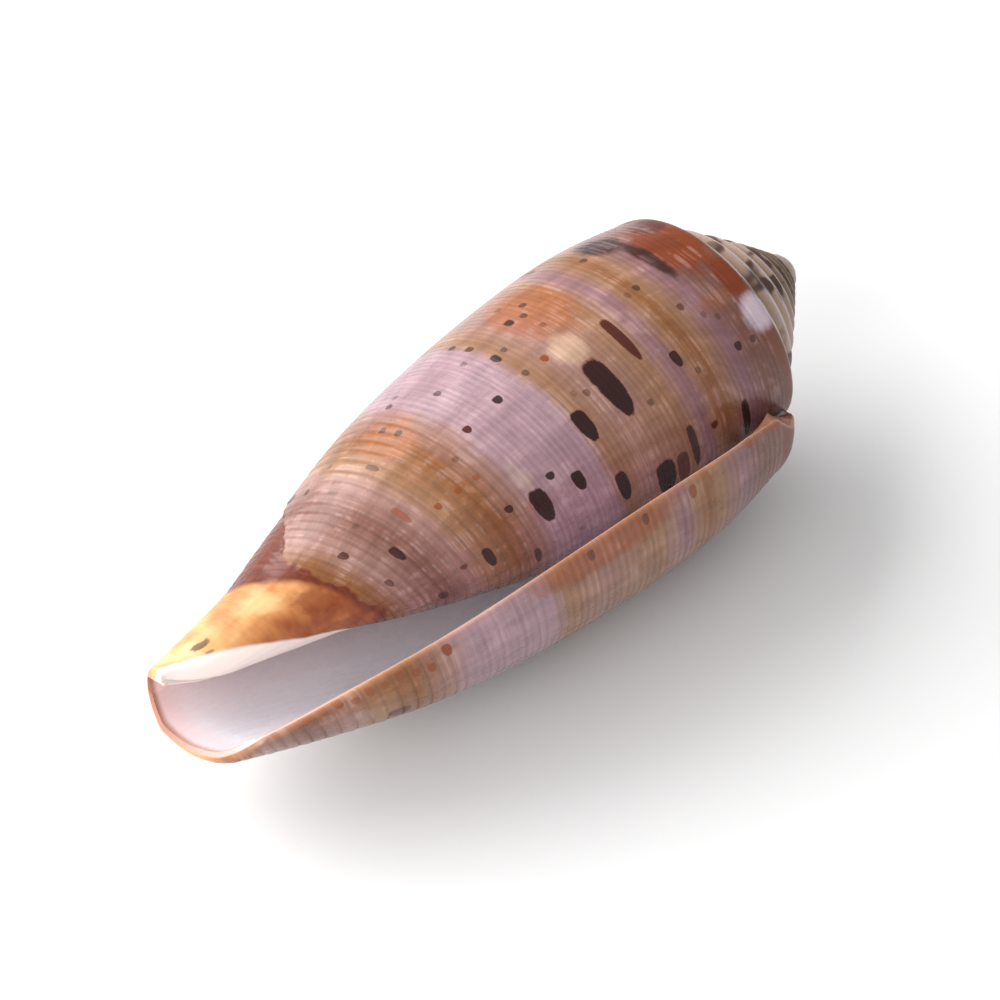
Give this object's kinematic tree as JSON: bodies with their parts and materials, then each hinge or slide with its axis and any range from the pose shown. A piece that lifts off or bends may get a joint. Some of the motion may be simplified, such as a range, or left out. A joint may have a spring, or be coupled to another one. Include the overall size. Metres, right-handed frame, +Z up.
{
  "type": "cone shell",
  "caption": "Dried cone-shaped sea shell lying on its side, with a low stepped spire, a long narrow open mouth and an open canal at the narrow end.",
  "frame": {"origin": "centre of the bounding box at the floor it rests on", "axes": "+X along the shell axis toward the tip of the spire, +Z up, mouth toward -Y"},
  "size_m": [0.0604, 0.0248, 0.0228],
  "materials": {
    "shell": "smooth and glossy, with fine cords"
  },
  "bodies": {
    "root": {"shell": "shell"}
  },
  "joints": []
}
